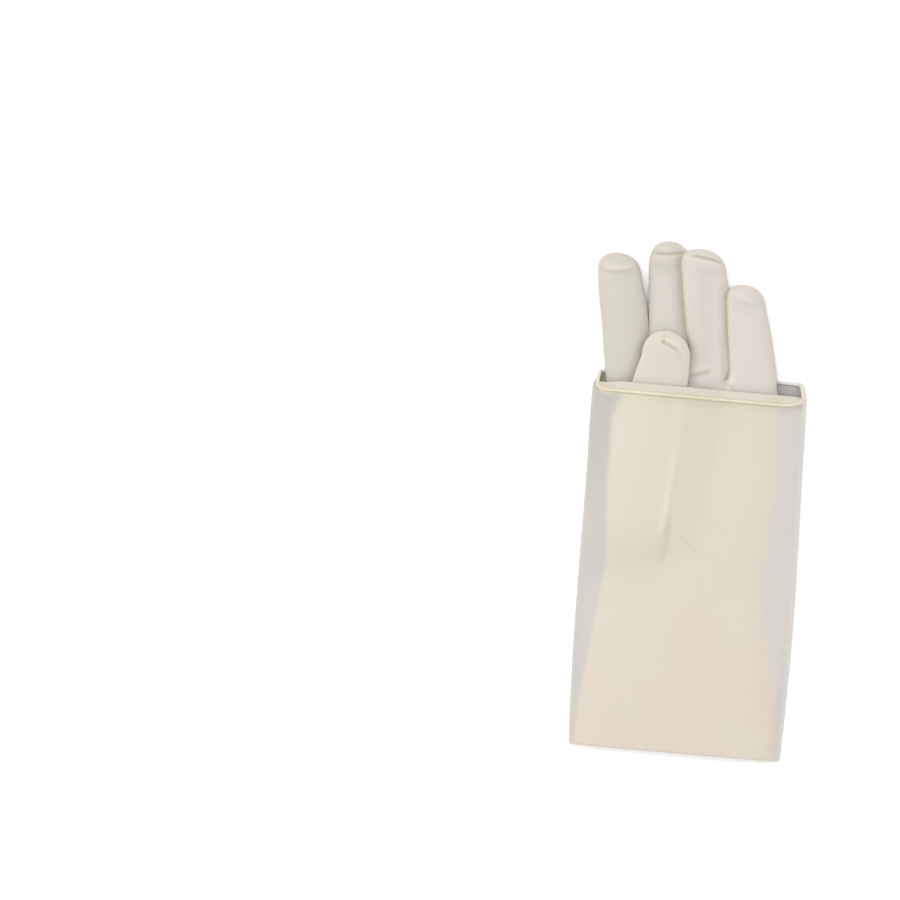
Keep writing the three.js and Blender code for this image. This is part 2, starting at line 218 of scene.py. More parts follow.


# Where the film of each tip has folded in, in the drawing's millimetres
# The last column of each row is paint: painted shade in a crease over 0, a painted highlight on
# a ridge under 0
CREASES = {
    "index": [
        ((-62.4, 264.8), (-40.6, 266.2), -2.4, 1.7, 0.7, -0.6),
        ((-62.0, 261.9), (-40.8, 263.3), -2.4, 0.8, -0.6, 0.12),
        ((-60.0, 254.0), (-41.0, 255.0), -1.0, 3.0, -0.4, 0.0),
        ((-41.5, 196.0), (-32.6, 228.0), 0.8, 2.4, -0.2, 0.32),
    ],
    "middle": [
        ((-36.0, 273.2), (-11.4, 276.0), -1.6, 0.5, -0.9, 0.36),
        ((-35.4, 271.3), (-12.2, 273.8), -1.6, 1.0, 0.45, -0.4),
        ((-35.0, 264.8), (-14.0, 266.4), -1.4, 2.6, -1.0, 0.06),
    ],
    "ring": [
        ((-13.6, 273.0), (7.6, 269.6), 0.7, 0.5, -0.85, 0.46),
        ((-12.8, 270.9), (6.6, 267.5), 0.7, 1.0, 0.5, -0.5),
        ((-12.0, 262.6), (9.4, 263.0), -0.8, 2.8, -0.9, 0.0),
        ((1.0, 203.0), (-3.4, 272.0), 0.0, 4.6, -0.3, 0.13),
        ((-10.0, 206.2), (4.6, 210.4), -0.4, 0.9, -0.6, 0.25),
        ((-10.0, 208.8), (4.8, 213.0), -0.4, 1.2, 0.5, -0.5),
        ((-8.4, 194.0), (-9.0, 222.0), 0.0, 1.6, 1.4, 0.0),
        ((13.8, 211.5), (12.4, 201.5), -0.9, 0.6, -0.3, 0.4),
    ],
    "little": [
        ((10.8, 250.6), (31.6, 249.0), -1.7, 0.9, -0.45, 0.12),
        ((10.6, 255.6), (21.4, 252.4), -0.8, 1.4, 0.45, -0.5),
        ((11.0, 246.2), (31.8, 246.2), -1.7, 2.8, -0.6, 0.05),
        ((11.8, 204.2), (17.8, 200.6), 0.6, 0.7, -0.3, 0.3),
    ],
    "thumb": [
        ((-23.4, 229.6), (-23.9, 222.4), -0.1, 0.6, -0.4, 0.26),
        ((-26.2, 225.0), (-14.4, 219.1), 0.4, 0.7, -0.6, 0.38),
        ((-25.6, 226.9), (-13.2, 221.3), 0.4, 1.0, 0.35, -0.35),
        ((-15.6, 220.4), (-12.2, 212.0), 0.6, 0.8, -0.3, 0.12),
        ((-36.0, 213.0), (-11.0, 210.5), -2.0, 3.4, -0.4, 0.0),
    ],
}
# A finger's side is pressed down where its neighbour lies over it
PRESSED = {
    "middle": [((-4.6, 188.0), (-18.4, 291.0), 0.0, 4.6, -3.6, 0.0)],
    "ring": [((16.0, 188.0), (9.0, 270.0), 0.0, 3.2, -2.4, 0.0)],
    "index": [((-29.6, 190.0), (-33.8, 254.0), 0.0, 2.0, -0.7, 0.0)],
}
print("creases:", {name: len(rows) for name, rows in CREASES.items()})

# %% [markdown]
# A piece's surface is a grid: sections across it, one after another along its
# length. One function joins neighbouring sections with four-sided faces, and
# closes the ends with a fan, so every piece is one closed skin whose faces
# point outwards.

# %% From sections to a mesh


def skin_faces(rows, around, ends_meet):
    """Faces of a grid of sections: (i, j), (i+1, j), (i+1, j+1), (i, j+1)."""
    i = np.arange(rows if ends_meet else rows - 1)[:, None]
    j = np.arange(around)[None, :]
    here, onward = i * around, (i + 1) % rows * around
    beside = (j + 1) % around
    return np.stack([here + j, onward + j, onward + beside, here + beside], -1).reshape(-1, 4)


def skin(sections, ends_meet=False):
    """Points and faces of a closed skin over sections of shape (rows, around, 3)."""
    rows, around = sections.shape[:2]
    points = sections.reshape(-1, 3)
    faces = skin_faces(rows, around, ends_meet).tolist()
    if ends_meet:
        return points, faces
    j = np.arange(around)
    beside = (j + 1) % around
    last = (rows - 1) * around
    poles = sections[[0, -1]].mean(axis=1)
    first_pole, last_pole = len(points), len(points) + 1
    faces += np.stack([np.full(around, first_pole), j, beside], -1).tolist()
    faces += np.stack([np.full(around, last_pole), last + beside, last + j], -1).tolist()
    return np.vstack([points, poles]), faces


MOUTH_DROP, MOUTH_SLANT, MOUTH_REACH = 0.65, 0.0098, 70.0


def settle(points):
    """The mouth lies a little askew: y less (drop + slant * x), fading out with y."""
    x, y, z = points.T
    fade = 1 - smoothstep(y / MOUTH_REACH)
    return np.stack([x, y - (MOUTH_DROP + MOUTH_SLANT * x) * fade, z], -1)


def new_object(name, points, faces):
    """An object at the frame's origin whose mesh holds these points of the drawing."""
    mesh = bpy.data.meshes.new(name)
    mesh.from_pydata(((settle(points) + SHIFT) * MM).tolist(), [], faces)
    mesh.update()
    made = bpy.data.objects.new(name, mesh)
    bpy.context.scene.collection.objects.link(made)
    return made


# %% [markdown]
# ## The hand
#
# On the former, palm and fingers are one smooth body. Here each digit is a
# profile carried along its length with a dome at the tip, and the forearm and
# palm are another. They are joined by a boolean union, which leaves the sharp
# valley that film makes between two finger roots. The same shapes drawn in by
# the film's thickness are taken out again, so the glove is hollow.

# %% Digits
DIGIT_AROUND = 102
DOME_STEPS = 30
DOME_END = 88  # degrees of the dome that have sections; a fan closes the rest
HIDDEN_STEP, SEEN_STEP = 2.6, 0.72  # mm between sections under the cuff and past it
SEEN_FROM = 198.0


def digit_rows(name, inset):
    """Left, right, bottom and top along a digit: its table's curves, then a dome
    whose half width falls off as crown(share of the way to the tip, bluntness)."""
    tip, bluntness, outline = DIGITS[name]
    tip_x, tip_y = tip
    first, last = outline["y"][[0, -1]]
    hidden = np.arange(first, SEEN_FROM, HIDDEN_STEP)
    y = np.append(hidden, np.arange(SEEN_FROM, last, SEEN_STEP))
    left, right = curve(outline, "left", y), curve(outline, "right", y)
    bottom, top = levels_of(name, y)
    along = np.sin(np.radians(np.linspace(0, DOME_END, DOME_STEPS + 1)[1:]))
    share = crown(along, bluntness)
    centre = (left[-1] + right[-1]) / 2 * (1 - along) + tip_x * along
    half = ((right[-1] - left[-1]) / 2 - inset) * share + inset
    middle = bottom[-1] + DIGIT_MID * (top[-1] - bottom[-1])
    flat = np.sqrt(share)
    return (
        np.append(y, last + (tip_y - inset - last) * along),
        np.append(left, centre - half),
        np.append(right, centre + half),
        np.append(bottom, middle - (middle - bottom[-1] - inset) * flat - inset),
        np.append(top, middle + (top[-1] - middle - inset) * flat + inset),
    )


def digit_sections(name, inset, around):
    """Superellipse sections: across = cos^(2/p), up = sin^(2/p), with power p
    larger below the side line, and the tip's folds added to the upper half."""
    y, left, right, bottom, top = (column[:, None] for column in digit_rows(name, inset))
    angle = np.radians(np.arange(around) * 360 / around)[None, :]
    upper = np.sin(angle) > -1e-9
    power = np.where(upper, DIGIT_TOP_POWER, DIGIT_BASE_POWER)
    across = np.sign(np.cos(angle)) * np.abs(np.cos(angle)) ** (2 / power)
    up = np.abs(np.sin(angle)) ** (2 / power)
    middle = bottom + DIGIT_MID * (top - bottom)
    height = np.where(upper, top - middle - inset, -(middle - bottom - inset))
    x = (left + right) / 2 + ((right - left) / 2 - inset) * across
    y = np.broadcast_to(y, x.shape)
    relief = folds(x, y, CREASES[name] + PRESSED.get(name, [])) * np.where(upper, up, 0)
    return np.stack([x, y, middle + height * up + relief], -1)


# %% Forearm and palm
SIDE_SHARE, SIDE_STEPS = 0.054, 10  # the outer part of each half, which curves most
INNER_STEPS = 121
side = 1 - SIDE_SHARE * (np.arange(SIDE_STEPS) / SIDE_STEPS) ** 2
inner = np.linspace(1 - SIDE_SHARE, SIDE_SHARE - 1, INNER_STEPS)
ACROSS = np.concatenate([side, inner, -side[::-1]])
ACROSS_STEPS = len(ACROSS)
EDGE_REACH = 11.0  # only the outer 11 mm of a section move when it is drawn in
PALM_START, PALM_STEP = 3.0, 2.4
PALM_END = 197.0  # where the palm begins to close, past the finger roots
CLOSE_ROWS, CLOSE_DRAW, CLOSE_SHRINK = 10, 3.0, 0.6


def places(left, right, inset, across=ACROSS):
    """x of each place across sections with these edges, drawn in by inset. Only
    places near an edge move, so a wall keeps its thickness."""
    half = (right - left) / 2
    from_edge = (1 - np.abs(across)) * half
    drawn = inset * np.clip(1 - from_edge / EDGE_REACH, 0, 1)
    return (left + right) / 2 + across * half - np.sign(across) * drawn


def ring(x, y, lower, upper):
    """Closed sections out of an upper and a lower line over the same places."""
    y = np.broadcast_to(y, x.shape)
    over = np.stack([x, y, upper], -1)
    under = np.stack([x, y, lower], -1)
    return np.concatenate([over, under[:, -2:0:-1]], axis=1)


def palm_sections(inset):
    """Sections of forearm and palm: the top line is crown(offset, 3.4), the lower
    one crown(offset, 5), and the last few shrink to close past the finger roots."""
    y = np.arange(PALM_START, PALM_END, PALM_STEP)
    closing = np.linspace(0, 1, CLOSE_ROWS)
    y = np.append(y, PALM_END + (ROOT_END - inset - PALM_END) * closing)[:, None]
    closing = np.append(np.zeros(len(y) - CLOSE_ROWS), closing)[:, None]
    draw = CLOSE_DRAW * closing ** 2.2
    left = curve(HAND, "left", y) + draw
    right = curve(HAND, "right", y) - draw
    x = places(left, right, inset, ACROSS[::2])
    offset = (x - (left + right) / 2) / ((right - left) / 2 - inset)
    shrink = 1 - CLOSE_SHRINK * closing ** 3
    middle = curve(HAND, "mid", y)
    upper = middle + (HAND_TOP - inset - middle) * crown(offset, HAND_TOP_POWER) * shrink
    lower = middle - (middle - TABLE_REST - inset) * crown(offset, HAND_BASE_POWER) * shrink
    return ring(x, y, lower, upper)


# %% [markdown]
# ## The turned-back cuff
#
# The cuff lies on the hand like a sheet. Its height is worked out as a map
# over the table: the top of whatever is beneath, spread outwards with a limit
# on how steeply film falls, and held down at the two side folds. A little
# smoothing then gives it the softness of film. A cloth simulation could do
# the same, but it wouldn't keep to the solid's sizes.

# %% Height map under and over the cuff
SIDE_HEIGHT, SIDE_ROUND = 2.8, 2.4
SIDE_SLOPE, DRAPE_SLOPE, DRAPE_REACH = 1.05, 0.24, 0.5
LEAST_ROOM = 0.45  # air between the hand and the cuff over it
DRAPE_ACROSS, DRAPE_ALONG = 4.0, 7.0  # steps of the map over which film stays stiff
AGAIN_ACROSS, AGAIN_ALONG = 1.5, 2.0  # the same once the least room is kept
MAP_X = np.arange(-66.0, 66.01, 0.6)
MAP_Y = np.arange(-2.0, 204.01, 1.0)
MAP_EDGE = 20  # columns at each side of the map that lie past the hand


def from_side(x, y):
    """How far inside the cuff's nearer side a place lies, in mm."""
    return np.minimum(x - curve(CUFF, "left", y), curve(CUFF, "right", y) - x)


def top_under_cuff(x, y):
    """Top of the palm, or of a digit where one is higher, at every place."""
    left, right = curve(HAND, "left", y), curve(HAND, "right", y)
    middle = curve(HAND, "mid", y)
    offset = (x - (left + right) / 2) / ((right - left) / 2)
    inside = np.abs(offset) <= 1
    best = np.where(inside, middle + (HAND_TOP - middle) * crown(offset, HAND_TOP_POWER), 0)
    for name, (_, _, outline) in DIGITS.items():
        left, right = curve(outline, "left", y), curve(outline, "right", y)
        bottom, top = levels_of(name, y)
        middle = bottom + DIGIT_MID * (top - bottom)
        offset = (x - (left + right) / 2) / ((right - left) / 2)
        inside = (np.abs(offset) <= 1) & (y >= outline["y"][0])
        height = middle + (top - middle) * crown(offset, DIGIT_TOP_POWER)
        best = np.where(inside, np.maximum(best, height), best)
    return best


def blur(values, axis, spread):
    """Mean of the neighbours along an axis, weighted by exp(-(steps / spread)^2 / 2)."""
    n = values.shape[axis]
    steps = np.arange(n)[:, None] - np.arange(n)[None, :]
    weight = np.exp(-0.5 * (steps / spread) ** 2)
    weight /= weight.sum(axis=1, keepdims=True)
    return np.moveaxis(np.tensordot(weight, values, axes=(1, axis)), 0, axis)


# Small folds that show in the cuff where the thumb leaves the palm
# The last column is paint: painted shade in a groove over 0, a painted highlight on a ridge
# under 0
CUFF_FOLDS = [
    ((-12.6, 168.0), (-18.6, 110.0), 1.0, 1.6, 0.5, -0.15),
    ((-12.2, 129.0), (-15.2, 100.0), 0.3, 1.5, -0.38, 0.14),
    ((-9.4, 121.5), (-1.6, 109.6), 0.8, 1.0, 0.45, 0.0),
    ((-7.6, 119.6), (6.2, 109.8), -1.2, 1.1, -0.3, 0.08),
    ((-30.0, 114.0), (-16.0, 102.0), -2.0, 1.4, -0.25, 0.0),
    ((-2.0, 107.0), (6.5, 96.0), 0.6, 1.6, 0.3, 0.0),
    ((14.0, 108.0), (28.0, 103.0), 0.5, 1.0, 0.2, 0.0),
]
UNDER = top_under_cuff(MAP_X[None, :], MAP_Y[:, None])
fall = DRAPE_SLOPE * np.clip(np.abs(MAP_X[:, None] - MAP_X[None, :]) - DRAPE_REACH, 0, None)
spread_out = (UNDER[:, None, :] - fall[None, :, :]).max(axis=2)
lowest = SIDE_HEIGHT - TABLE_REST
in_from_side = np.clip(from_side(MAP_X[None, :], MAP_Y[:, None]), 0, None)
held = lowest + SIDE_SLOPE * in_from_side
DRAPE = np.minimum(np.maximum(spread_out, lowest), held) + TABLE_REST
DRAPE = blur(blur(DRAPE, 1, DRAPE_ACROSS), 0, DRAPE_ALONG)
DRAPE = np.maximum(DRAPE, UNDER + FILM + LEAST_ROOM)
DRAPE = blur(blur(DRAPE, 1, AGAIN_ACROSS), 0, AGAIN_ALONG)
DRAPE += folds(MAP_X[None, :], MAP_Y[:, None], CUFF_FOLDS)
room = (DRAPE - FILM - UNDER)[:, MAP_EDGE:-MAP_EDGE]
print("between cuff and hand, mm: least", room.min().round(2), "most", room.max().round(2))


def look_up(height_map, x, y):
    """A height map at any place, linear between its four nearest points."""
    step_x, step_y = MAP_X[1] - MAP_X[0], MAP_Y[1] - MAP_Y[0]
    u = np.clip((x - MAP_X[0]) / step_x, 0, len(MAP_X) - 1.001)
    v = np.clip((y - MAP_Y[0]) / step_y, 0, len(MAP_Y) - 1.001)
    i, j = v.astype(int), u.astype(int)
    s, t = v - i, u - j
    low = height_map[i, j] * (1 - t) + height_map[i, j + 1] * t
    high = height_map[i + 1, j] * (1 - t) + height_map[i + 1, j + 1] * t
    return low * (1 - s) + high * s


# %% Sections of the cuff
LEAST_ROUND = 0.4  # the side folds' round on the film's inner face
LEAST_GAP = 0.3  # between the two inner faces


def cuff_sections(y, inset):
    """Sections of the cuff at each y, drawn in by inset: the side folds close over
    a round of 2.4 mm as sqrt(1 - short^2)."""
    y = np.atleast_1d(np.asarray(y, float))[:, None]
    inset = np.broadcast_to(np.atleast_1d(np.asarray(inset, float))[:, None], y.shape)
    left, right = curve(CUFF, "left", y), curve(CUFF, "right", y)
    x = places(left, right, inset)
    edge = np.minimum(x - left - inset, right - inset - x)
    short = np.clip(1 - edge / np.maximum(LEAST_ROUND, SIDE_ROUND - inset), 0, None)
    closing = np.sqrt(np.clip(1 - short ** 2, 0, None))
    draped = look_up(DRAPE, x, np.broadcast_to(y, x.shape))
    top = np.maximum(draped - inset, inset + LEAST_GAP)
    middle, half = (top + inset) / 2, (top - inset) / 2 * closing
    return ring(x, y, middle - half, middle + half)


# %% [markdown]
# At its end the cuff is turned down on the palm side, where it shows its inner
# face, and lies straight on the table side. So the lip's angle changes round
# the rim: half a turn on the palm side, none on the table side, and a right
# angle at the side folds, where the rim stands up in two loops.

# %% The lip's path
BEND_Y, BEND_RADIUS = 199.4, 0.9
LIP_FILM, BACK_MORE = 5.75, 1.1  # the film past the bend, and how much more at the back
LIP_SIDE_SHARE, LEAN_LEFT, LEAN_RIGHT, LEAN_FROM = 0.65, 0.36, 0.24, 0.16
TWIST_LEFT, TWIST_RIGHT, TWIST_BACK = 12.0, 14.0, 4.5  # rim over which the angle changes
RIM_SLANT, RIM_MIDDLE, RIM_FROM, RIM_REACH = 0.012, -7.0, 140.0, 55.0
LEFT_DIP, DIP_FROM, DIP_REACH = 1.1, -44.0, 10.0
BACK_REACH = 60.0  # the back lip's extra film runs out over this width to the left
UPRIGHT = 1.5  # the lip's angle, in radians, that parts the palm side from the back
SHARE_STEP = 0.02  # how far apart the two places are that give the lip's heading


def left_dip(x):
    """How much lower the rim lies at its left end."""
    return LEFT_DIP * smoothstep((DIP_FROM - x) / DIP_REACH)


def slant(points):
    """The rim lies a little askew: y less slant * (x - middle) and less the dip at
    the left end, fading in along y."""
    x, y = points[..., 0], points[..., 1]
    askew = RIM_SLANT * (x - RIM_MIDDLE) + left_dip(x)
    moved = points.copy()
    moved[..., 1] -= askew * smoothstep((y - RIM_FROM) / RIM_REACH)
    return moved


def lip_angles(rim):
    """The lip's angle at each place of the rim: pi/2 at a side fold, and from
    there acos(1 - distance / twist) more above or less below, so that the rim is
    an ellipse seen from above."""
    lengths = np.linalg.norm(np.roll(rim, -1, axis=0) - rim, axis=1)
    place = np.cumsum(lengths) - lengths
    total, left_edge = lengths.sum(), place[ACROSS_STEPS - 1]
    front = place <= left_edge
    away = np.where(
        front,
        np.minimum(place, left_edge - place),
        np.minimum(place - left_edge, total - place),
    )
    twist = np.where(front, np.where(rim[:, 0] < 0, TWIST_LEFT, TWIST_RIGHT), TWIST_BACK)
    return np.pi / 2 + np.where(front, 1, -1) * np.arccos(np.clip(1 - away / twist, 0, 1))


def lip_middle(share, depth=FILM / 2):
    """Middle of the film at a share of the lip's length: an arc of BEND_RADIUS up
    to the lip's angle, then a straight run."""
    rim = cuff_sections(BEND_Y, depth)[0]
    angles = lip_angles(rim)
    chord = np.roll(rim, -1, axis=0) - np.roll(rim, 1, axis=0)
    outward_x = chord[:, 2] * -1
    outward_z = chord[:, 0]
    sideways = outward_x / np.hypot(outward_x, outward_z)
    inwards = np.where(rim[:, 0] < 0, LEAN_LEFT, LEAN_RIGHT)
    lean = inwards * np.clip(sideways / LEAN_FROM, -1, 1)
    arc = BEND_RADIUS * angles
    at_back = smoothstep(UPRIGHT - angles) * smoothstep(rim[:, 0] / BACK_REACH + 1)
    film = LIP_FILM + BACK_MORE * at_back
    film -= left_dip(rim[:, 0]) * smoothstep(angles - UPRIGHT)
    straight = (film - arc) * (1 - (1 - LIP_SIDE_SHARE) * np.sin(angles) ** 2)
    travelled = share * (arc + straight)
    angle = np.minimum(angles, travelled / BEND_RADIUS)
    rest = np.clip(travelled - arc, 0, None)
    up = BEND_RADIUS * np.sin(angle) + rest * np.cos(angle)
    out = BEND_RADIUS * (1 - np.cos(angle)) + rest * np.sin(angle)
    moved = rim + np.stack([lean * out, np.zeros_like(out), np.sqrt(1 - lean ** 2) * out], -1)
    moved[:, 1] = BEND_Y + up
    return moved


def unit(vectors):
    return vectors / np.linalg.norm(vectors, axis=-1, keepdims=True)


def lip_path(share):
    """The lip's middle, its heading, and the film's outer normal, at every place."""
    middle = lip_middle(share)
    heading = unit(lip_middle(share + SHARE_STEP) - lip_middle(share - SHARE_STEP))
    along = np.roll(middle, -1, axis=0) - np.roll(middle, 1, axis=0)
    return middle, heading, unit(np.cross(heading, along))


# %% The cuff's closed profile
FOLD_ROUND = 1.25  # half the thickness of the fold at the mouth
FOLD_STEPS = 13
OUTSIDE_START, COARSE_STEP = 2.4, 1.4
FINE_FROM, FINE_STEP, FINE_END = 186.0, 0.6, 0.4  # sections close up towards the bend
INSIDE_START, INSIDE_STEP, INSIDE_END = 3.0, 4.1, 1.5
LIP_END = 1.1  # the film runs on into the bead
LIP_SHARES = np.concatenate([np.linspace(0.06, 0.5, 12), np.linspace(0.6, LIP_END, 7)])


def cuff_skin():
    """Rings along one closed profile: round the fold at the mouth, up the outside,
    over the lip, and down the inside of the same film."""
    angle = np.radians(np.linspace(180, 0, FOLD_STEPS))
    middle_inset = FOLD_ROUND
    fold_out = cuff_sections(
        FOLD_ROUND * (1 - np.sin(angle)), middle_inset - FOLD_ROUND * np.cos(angle)
    )
    coarse = np.arange(OUTSIDE_START, FINE_FROM, COARSE_STEP)
    fine = np.arange(FINE_FROM, BEND_Y - FINE_END, FINE_STEP)
    outside_y = np.concatenate([coarse, fine, [BEND_Y]])
    outside = cuff_sections(outside_y, 0.0)
    paths = [lip_path(share) for share in LIP_SHARES]
    lip_out = np.array([middle + normal * FILM / 2 for middle, _, normal in paths])
    lip_in = np.array([middle - normal * FILM / 2 for middle, _, normal in paths])[::-1]
    inside_y = np.append(np.arange(INSIDE_START, BEND_Y - INSIDE_END, INSIDE_STEP), BEND_Y)[::-1]
    inside = cuff_sections(inside_y, FILM)
    inner_round = FOLD_ROUND - FILM
    fold_in = cuff_sections(
        FOLD_ROUND - inner_round * np.sin(angle[::-1]),
        middle_inset - inner_round * np.cos(angle[::-1]),
    )
    rings = [fold_out, outside, lip_out, lip_in, inside, fold_in]
    on_lip = np.repeat([0, 0, 1, 1, 0, 0], [len(part) for part in rings])
    return slant(np.concatenate(rings)), on_lip


cuff_rings, cuff_on_lip = cuff_skin()
cuff_points, cuff_faces = skin(cuff_rings, ends_meet=True)
cuff = new_object("cuff_film", cuff_points, cuff_faces)
print("cuff film:", len(cuff_faces), "faces")

# %% [markdown]
# The hand's outer and inner bodies go through one chain of booleans. The
# Manifold solver is quick and keeps every piece closed.

# %% The hand's film
FOREARM_START = 1.2  # where the film's cut end lies, inside the fold at the mouth
HOLLOW_START = -4.0  # the hollow's body sticks out there, so that the end is open


def body(name, sections):
    return new_object(name, *skin(sections))


def hand_film():
    """The union of palm and digits, less the same shapes drawn in by the film."""
    palm = palm_sections(0.0)
    start = palm[:1].copy()
    start[:, :, 1] = FOREARM_START
    hand = body("hand_film", np.concatenate([start, palm]))
    hollow = palm_sections(FILM)
    opening = hollow[:1].copy()
    opening[:, :, 1] = HOLLOW_START
    tools = [body("tool_palm", np.concatenate([opening, hollow[1::2]]))]
    chain = [("DIFFERENCE", tools[0])]
    for name in DIGITS:
        outer = body("tool_" + name, digit_sections(name, 0.0, DIGIT_AROUND))
        inner = body("tool_in_" + name, digit_sections(name, FILM, DIGIT_AROUND // 2))
        chain.insert(0, ("UNION", outer))
        chain.append(("DIFFERENCE", inner))
        tools += [outer, inner]
    for operation, tool in chain:
        step = hand.modifiers.new(operation.lower(), "BOOLEAN")
        step.solver = "MANIFOLD"
        step.operation = operation
        step.object = tool
    bpy.context.view_layer.update()
    joined = bpy.data.meshes.new_from_object(
        hand.evaluated_get(bpy.context.evaluated_depsgraph_get())
    )
    hand.modifiers.clear()
    hand.data = joined
    for tool in tools:
        bpy.data.objects.remove(tool)
    return hand


hand = hand_film()
print("hand film:", len(hand.data.polygons), "faces")

# %% [markdown]
# ## The bead
#
# When a glove is dipped, its edge is rolled up on itself while the latex is
# still wet. That leaves a round bead all the way along the rim, a little
# yellower than the film because it is many layers thick.

# %% Rolled bead
BEAD_RADIUS = 0.95
BEAD_PAST_LIP = 1.25  # from the end of the lip's drawn length to the bead's middle
BEAD_AROUND, BEAD_PLACES, BEAD_SOFT = 16, 480, 2.2
LOOP_SWELL, LOOP_REACH = 0.45, 4.0  # how much thicker the bead is at the right loop


def even_loop(points):
    """The same closed line with its places evenly spaced, then each place taken as
    the mean of its neighbours weighted by exp(-(steps / soft)^2 / 2)."""
    closed = np.vstack([points, points[:1]])
    length = np.append(0, np.cumsum(np.linalg.norm(np.diff(closed, axis=0), axis=1)))
    at = np.arange(BEAD_PLACES) * length[-1] / BEAD_PLACES
    even = np.stack([np.interp(at, length, column) for column in closed.T], -1)
    steps = np.abs(np.arange(BEAD_PLACES)[:, None] - np.arange(BEAD_PLACES)[None, :])
    weight = np.exp(-0.5 * (np.minimum(steps, BEAD_PLACES - steps) / BEAD_SOFT) ** 2)
    return weight @ even / weight.sum(axis=1, keepdims=True)


def bead_skin():
    """A circle carried along the rim: centre + r (up cos a - side sin a), where up
    is the world's vertical made square to the rim, and side is square to both."""
    middle, heading, normal = lip_path(1.0)
    centre = middle + heading * BEAD_PAST_LIP + normal * (FILM / 2 - BEAD_RADIUS)
    centre = slant(even_loop(centre))
    from_loop = centre[:, 0] - centre[:, 0].max()
    radius = BEAD_RADIUS + LOOP_SWELL * np.exp(-(from_loop / LOOP_REACH) ** 2)
    centre[:, 2] = np.maximum(centre[:, 2], radius)
    along = unit(np.roll(centre, -1, axis=0) - np.roll(centre, 1, axis=0))
    vertical = np.array([0.0, 0.0, 1.0])
    up = unit(vertical - along * along[:, 2:])
    side = np.cross(along, up)
    angle = np.radians(np.arange(BEAD_AROUND) * 360 / BEAD_AROUND)[None, :, None]
    arm = up[:, None] * np.cos(angle) - side[:, None] * np.sin(angle)
    return centre, centre[:, None] + radius[:, None, None] * arm


bead_line, bead_rings = bead_skin()
bead = new_object("rim_bead", *skin(bead_rings, ends_meet=True))
print("bead:", len(bead.data.polygons), "faces")

# %% [markdown]
# ## Colour by layers
#
# Latex film is milky, and layers that touch look creamier than layers with air
# between them. So each point of the film gets a number, from 0 where the film
# hangs free to 1 where it lies on another layer. The material reads it, and
# other numbers of the same kind that hold painted shade in creases and pockets,
# painted highlights on ridges, and painted light under the bead.

# %% Layer attribute


def positions(piece):
    """The piece's points in the drawing's millimetres."""
    flat = np.empty(len(piece.data.vertices) * 3, np.float32)
    piece.data.vertices.foreach_get("co", flat)
    return flat.reshape(-1, 3) / MM - SHIFT


def normals(piece):
    flat = np.empty(len(piece.data.vertices) * 3, np.float32)
    piece.data.vertices.foreach_get("normal", flat)
    return flat.reshape(-1, 3)


def keep(piece, name, values):
    """Stores one number for each point under a name that the material reads."""
    stored = piece.data.attributes.new(name, "FLOAT", "POINT")
    stored.data.foreach_set("value", np.asarray(values, np.float32))


COVER_SOFT = 3.2  # mm over which the creamy look fades at the hand's edge
SOFTER, SOFTER_FROM, SOFTER_REACH = 1.2, 150, 50  # it fades more softly past the wrist
# How far the creamy look draws in at the left, from which y, and over what length
DRAWS_IN = [(3, 140, 30), (6, 178, 18)]
STRIP_LAYERS = 0.72
SIDE_GLOW, SIDE_GLOW_WIDTH = 0.2, 2.4  # double film at the cuff's side folds
THUMB_GLOW, THUMB_GLOW_WIDTH, THUMB_PAST, THUMB_SHARP = 0.5, 6.0, 0.6, 0.9
THUMB_FROM, THUMB_REACH = 112, 20  # where the glow beside the thumb comes in
# Where painted shade lies in the pocket between the hand and the table-side lip
POCKET_LEFT, POCKET_RIGHT, POCKET_REACH = -49.0, 37.0, 6.0
POCKET_HEIGHT, POCKET_FADE = 7.0, 3.0
CORNER_FREE, CORNER_REACH = 0.8, 1.6
LIT_FROM, LIT_WIDTH = 185, 1.7  # painted light under the bead, standing for light that comes through it, which lifts the bead's shadow
LIT_SIDE, LIT_SIDE_REACH, LIT_ON_LIP = 2.0, 3.0, 0.2
PALE_WIDTH, PALE_SHARE, PALE_PAINTED_LIGHT = 4.0, 0.6, 0.4  # the right side fold's paler film, with painted light near the rim, where it lifts the shadow of the bead's loop
PALE_FROM, PALE_REACH = 184, 8


def edge_of(name, side, y):
    """x of a digit's edge at every y, round its dome too."""
    rows = digit_rows(name, 0.0)
    return np.interp(y, rows[0], rows[1 if side == "left" else 2])


def near_bead(x, y):
    """1 under the bead's line, falling off to both sides as
    exp(-(distance / width)^2)."""
    near = y > LIT_FROM
    apart = np.hypot(x[near, None] - bead_line[:, 0], y[near, None] - bead_line[:, 1])
    close = np.zeros(len(x))
    close[near] = np.exp(-(apart.min(axis=1) / LIT_WIDTH) ** 2)
    return close


def cuff_layers(x, y, lip):
    """1 over the hand, 0 over bare table: the product of two smoothsteps of the
    distance inside its left and right edges. The left edge draws in past the
    wrist, because the thumb lifts the cuff off the palm beside it."""
    left = curve(HAND, "left", y)
    for draw, start, reach in DRAWS_IN:
        left = left + draw * smoothstep((y - start) / reach)
    softer = COVER_SOFT * (1 + SOFTER * smoothstep((y - SOFTER_FROM) / SOFTER_REACH))
    cover = smoothstep((x - left) / softer + 0.5)
    cover *= smoothstep((curve(HAND, "right", y) - x) / COVER_SOFT + 0.5)
    return np.where(lip, STRIP_LAYERS, cover)


def cuff_shade(x, y, z, lip, facing_up):
    """Painted shade: how deep a place lies in the pocket between the hand and the table-side
    lip, none at the lip's outer corners."""
    beside = np.clip(np.maximum(POCKET_LEFT - x, x - POCKET_RIGHT) / POCKET_REACH, 0, 1)
    beside *= smoothstep((from_side(x, y) - CORNER_FREE) / CORNER_REACH)
    deep = smoothstep((POCKET_HEIGHT - z) / POCKET_FADE)
    return np.where(lip, facing_up * beside * deep, 0)


